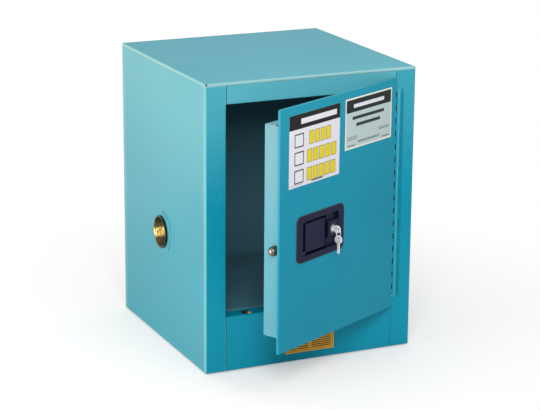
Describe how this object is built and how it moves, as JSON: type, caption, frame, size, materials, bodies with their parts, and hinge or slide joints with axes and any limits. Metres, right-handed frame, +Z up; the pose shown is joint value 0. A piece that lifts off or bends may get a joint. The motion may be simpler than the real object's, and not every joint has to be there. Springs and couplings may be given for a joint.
{
  "type": "safety storage cabinet",
  "caption": "Countertop safety cabinet: double walled steel box with a hinged paddle latch door, levelling feet, side vents, sump and lift-out shelf.",
  "frame": {"origin": "middle of the base, on the surface that the cabinet stands on", "axes": "+Z up, -Y out of the front, +X to the right of someone facing the front, where the hinge is"},
  "size_m": [0.4532, 0.6013, 0.5588],
  "materials": {
    "cabinet_paint": "satin powder coat",
    "steel": "zinc plated",
    "brass_parts": "machined",
    "latch_plastic": "fine texture",
    "nickel_plate": "polished",
    "label_film": "matte film"
  },
  "bodies": {
    "cabinet": {"side_panel_left": "cabinet_paint", "side_panel_right": "cabinet_paint", "top_panel": "cabinet_paint", "back_panel": "cabinet_paint", "bottom_panel": "cabinet_paint", "front_header": "cabinet_paint", "front_sill": "cabinet_paint", "liner_shell": "cabinet_paint", "liner_top": "cabinet_paint", "sump_pan": "cabinet_paint", "wall_spacers": "steel", "foot_nuts": "steel", "vent_collar_left": "cabinet_paint", "vent_collar_right": "cabinet_paint", "vent_rings": "cabinet_paint", "flame_arrester_left": "brass_parts", "flame_arrester_right": "brass_parts", "flame_screen_left": "brass_parts", "flame_screen_right": "brass_parts", "ground_stud": "brass_parts", "ground_nut": "brass_parts", "shelf_rails": "cabinet_paint", "shelf_brackets": "cabinet_paint", "hinge_frame_leaf": "cabinet_paint", "hinge_pin": "steel", "hinge_frame_rivets": "cabinet_paint", "strike_plate": "steel", "sill_label": "label_film", "rim_label": "label_film"},
    "door": {"door_outer_panel": "cabinet_paint", "door_inner_pan": "cabinet_paint", "door_stiffener": "cabinet_paint", "hinge_door_leaf": "cabinet_paint", "hinge_door_rivets": "cabinet_paint", "latch_bezel": "latch_plastic", "latch_clamp": "steel", "latch_screws": "steel", "paddle_pin": "steel", "paddle_spring": "steel", "bolt_guide": "steel", "lock_cylinder": "nickel_plate", "lock_nut": "steel", "door_label_white": "label_film", "door_label_grey": "label_film"},
    "paddle": {"paddle": "latch_plastic"},
    "latch_bolt": {"latch_bolt": "steel", "bolt_spring": "steel"},
    "lock_core": {"lock_plug": "nickel_plate", "lock_cam": "steel", "key_in_lock": "nickel_plate"},
    "spare_key": {"key_ring": "steel", "hanging_key": "nickel_plate"},
    "shelf": {"shelf": "cabinet_paint"},
    "vent_bung": {"vent_bung": "brass_parts"},
    "foot_front_left": {"foot_front_left": "steel"},
    "foot_front_right": {"foot_front_right": "steel"},
    "foot_rear_left": {"foot_rear_left": "steel"},
    "foot_rear_right": {"foot_rear_right": "steel"}
  },
  "joints": [
    {"name": "door_hinge", "type": "hinge", "parent": "cabinet", "child": "door", "pos_m": [0.174, -0.2194, 0], "axis": [0, 0, 1], "range_deg": [-27, 143]},
    {"name": "paddle_pivot", "type": "hinge", "parent": "door", "child": "paddle", "pos_m": [-0.07512, -0.34128, 0.2905], "axis": [0, 0, -1], "range_deg": [0, 35], "stiffness_Nm_per_rad": 0.5},
    {"name": "latch_bolt_slide", "type": "slide", "parent": "door", "child": "latch_bolt", "axis": [0.891, 0.454, 0], "range_m": [0, 0.012]},
    {"name": "lock_turn", "type": "hinge", "parent": "door", "child": "lock_core", "pos_m": [-0.00504, -0.31736, 0.292], "axis": [0.454, -0.891, 0], "range_deg": [0, 90]},
    {"name": "spare_key_swing", "type": "hinge", "parent": "lock_core", "child": "spare_key", "pos_m": [0.00086, -0.32894, 0.2908], "axis": [0.891, 0.454, 0], "range_deg": [-60, 8]},
    {"name": "shelf_lift", "type": "slide", "parent": "cabinet", "child": "shelf", "axis": [0, 0, 1], "range_m": [0, 0.05]},
    {"name": "vent_bung_turn", "type": "hinge", "parent": "cabinet", "child": "vent_bung", "pos_m": [0.2223, 0.003, 0.223], "axis": [1, 0, 0], "continuous": true},
    {"name": "foot_front_left_turn", "type": "hinge", "parent": "cabinet", "child": "foot_front_left", "pos_m": [-0.1919, -0.1919, 0], "axis": [0, 0, 1], "continuous": true},
    {"name": "foot_front_right_turn", "type": "hinge", "parent": "cabinet", "child": "foot_front_right", "pos_m": [0.1919, -0.1919, 0], "axis": [0, 0, 1], "continuous": true},
    {"name": "foot_rear_left_turn", "type": "hinge", "parent": "cabinet", "child": "foot_rear_left", "pos_m": [-0.1919, 0.1919, 0], "axis": [0, 0, 1], "continuous": true},
    {"name": "foot_rear_right_turn", "type": "hinge", "parent": "cabinet", "child": "foot_rear_right", "pos_m": [0.1919, 0.1919, 0], "axis": [0, 0, 1], "continuous": true}
  ],
  "couplings": [
    {"joint": "latch_bolt_slide", "follows": "paddle_pivot", "m_per_rad": 0.01964}
  ]
}
